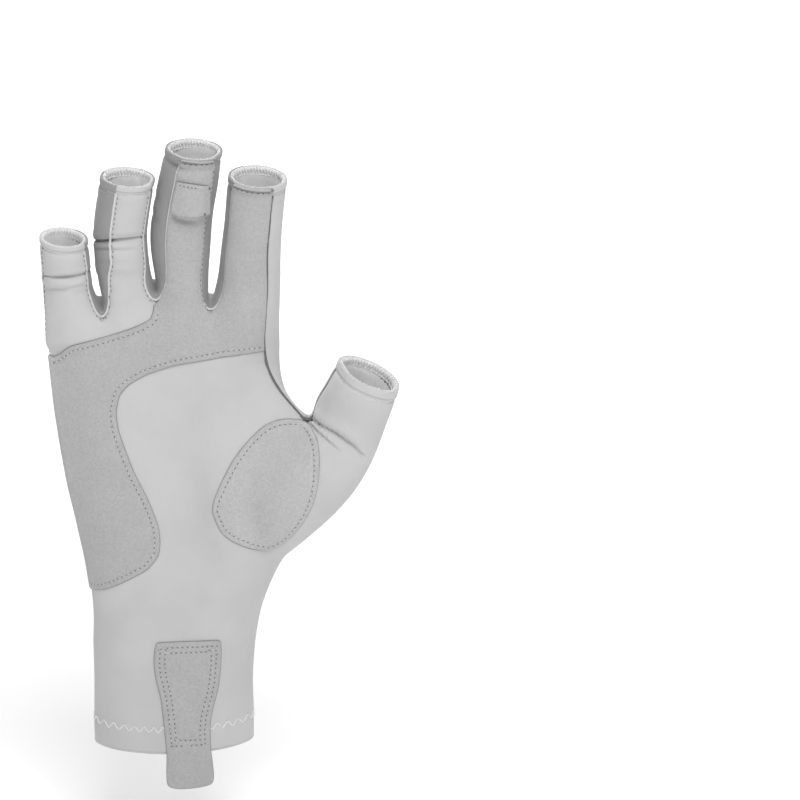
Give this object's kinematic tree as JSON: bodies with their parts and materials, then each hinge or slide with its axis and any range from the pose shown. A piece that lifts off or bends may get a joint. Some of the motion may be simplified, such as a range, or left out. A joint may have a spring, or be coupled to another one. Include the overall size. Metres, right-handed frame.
{
  "type": "sun glove",
  "caption": "Right-hand sun glove with open fingertips: light grey stretch knit with suede on the palm, thumb ball and two fingers, a finger loop and a wrist pull tab.",
  "frame": {"origin": "middle of the wrist opening, level with the lower edge of the cuff", "axes": "+Z from the wrist opening to the fingertips, -Y is the palm side, +X is the thumb side"},
  "size_m": [0.1396, 0.047, 0.2625],
  "materials": {
    "knit": "light grey stretch knit, matt with a soft sheen",
    "side_knit": "light grey stretch knit, a shade darker between the fingers",
    "hem": "turned-in hem of the same knit",
    "suede": "warm grey suede with a fine nap"
  },
  "bodies": {
    "root": {"main_panel": "knit", "fourchette_index_middle": "side_knit", "fourchette_middle_ring": "side_knit", "fourchette_ring_little": "side_knit", "thumb_gusset": "knit", "index_hem": "hem", "middle_hem": "hem", "ring_hem": "hem", "little_hem": "hem", "thumb_hem": "hem", "cuff_hem": "hem", "palm_patch": "suede", "thumb_ball_patch": "suede", "finger_loop": "suede", "pull_tab": "suede"}
  },
  "joints": []
}
